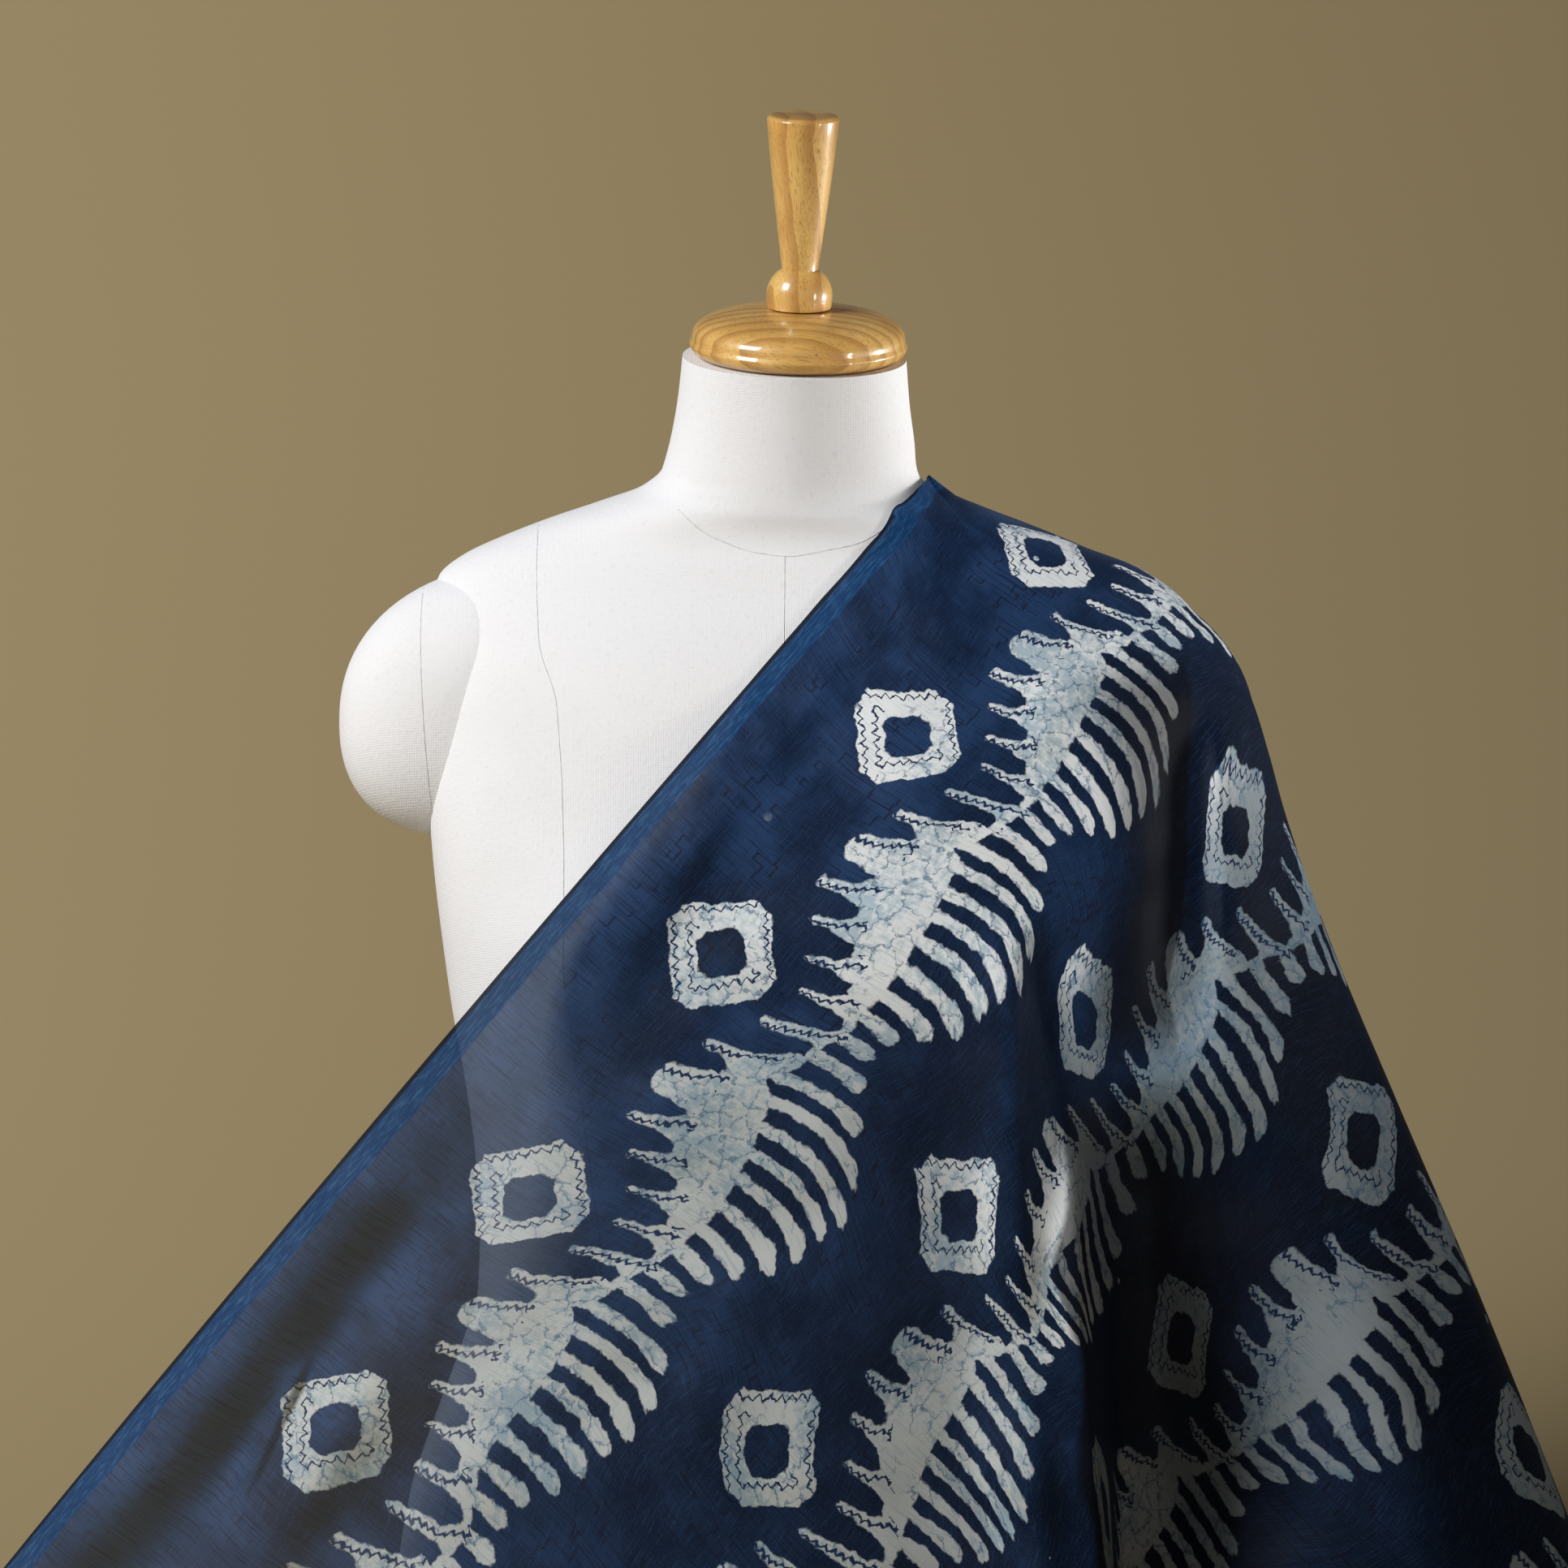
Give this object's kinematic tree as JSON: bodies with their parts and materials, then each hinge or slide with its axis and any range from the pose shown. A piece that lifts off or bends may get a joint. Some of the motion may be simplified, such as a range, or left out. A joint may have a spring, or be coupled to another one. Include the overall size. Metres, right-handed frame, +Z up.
{
  "type": "draped block-printed fabric on a dress form",
  "caption": "Sheer indigo fabric with a white block print, draped from the shoulder of a white canvas dress form with a turned wooden neck cap.",
  "frame": {"origin": "centre of the form's flat bottom, on the surface that it stands on", "axes": "+Z up along the form, +X towards the shoulder that carries the cloth, -Y towards the viewer who sees the printed front"},
  "size_m": [0.8498, 0.3429, 0.7755],
  "materials": {
    "indigo_chanderi": "sheer, matt with a soft sheen",
    "canvas": "matt plain weave",
    "varnished_wood": "gloss varnish"
  },
  "bodies": {
    "root": {"chanderi_cloth": "indigo_chanderi", "form_body": "canvas", "arm_stub_left": "canvas", "arm_stub_right": "canvas", "neck_cap": "varnished_wood", "finial": "varnished_wood"}
  },
  "joints": []
}
